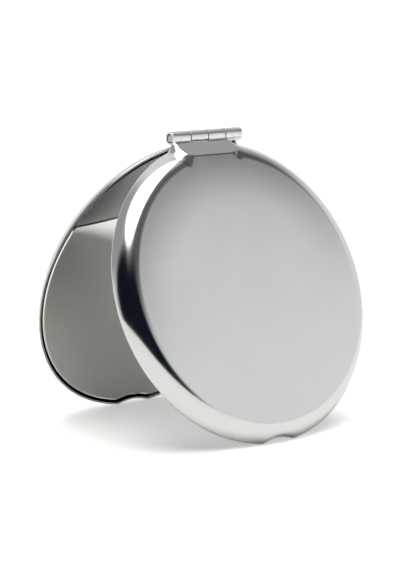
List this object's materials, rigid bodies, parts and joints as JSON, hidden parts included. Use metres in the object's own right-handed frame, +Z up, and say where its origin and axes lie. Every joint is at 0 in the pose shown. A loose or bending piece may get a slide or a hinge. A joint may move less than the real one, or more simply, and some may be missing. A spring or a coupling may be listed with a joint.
{
  "type": "powder compact",
  "caption": "Round pocket compact of polished steel, two equal shallow shells on a rolled-knuckle hinge with a mirror inside each, standing open like a tent.",
  "frame": {"origin": "on the table, under the middle of the shells and the hinge, with the compact standing open like a tent", "axes": "+X along the hinge, +Y from the front half towards the rear half, +Z up"},
  "size_m": [0.07, 0.0582, 0.0676],
  "materials": {
    "polished_steel": "bright polished, close to a mirror, with faint wiping marks",
    "mirror_plate": "silvered glass with a ground bevel",
    "foam_tape": "matt white foam",
    "black_plastic": "matt moulded",
    "nickel_plate": "bright nickel plating"
  },
  "bodies": {
    "front_half": {"front_shell": "polished_steel", "front_mirror": "mirror_plate", "front_mirror_tape": "foam_tape", "front_tray": "black_plastic", "front_tray_tape": "foam_tape", "front_magnet": "nickel_plate"},
    "rear_half": {"rear_shell": "polished_steel", "rear_mirror": "mirror_plate", "rear_mirror_tape": "foam_tape", "rear_tray": "black_plastic", "rear_tray_tape": "foam_tape", "rear_magnet": "nickel_plate", "hinge_pin": "polished_steel"}
  },
  "joints": [
    {"name": "compact_hinge", "type": "hinge", "parent": "front_half", "child": "rear_half", "pos_m": [0.0005, 0, 0.06602], "axis": [1, 0, 0], "range_deg": [-43.6, 136.4]}
  ]
}
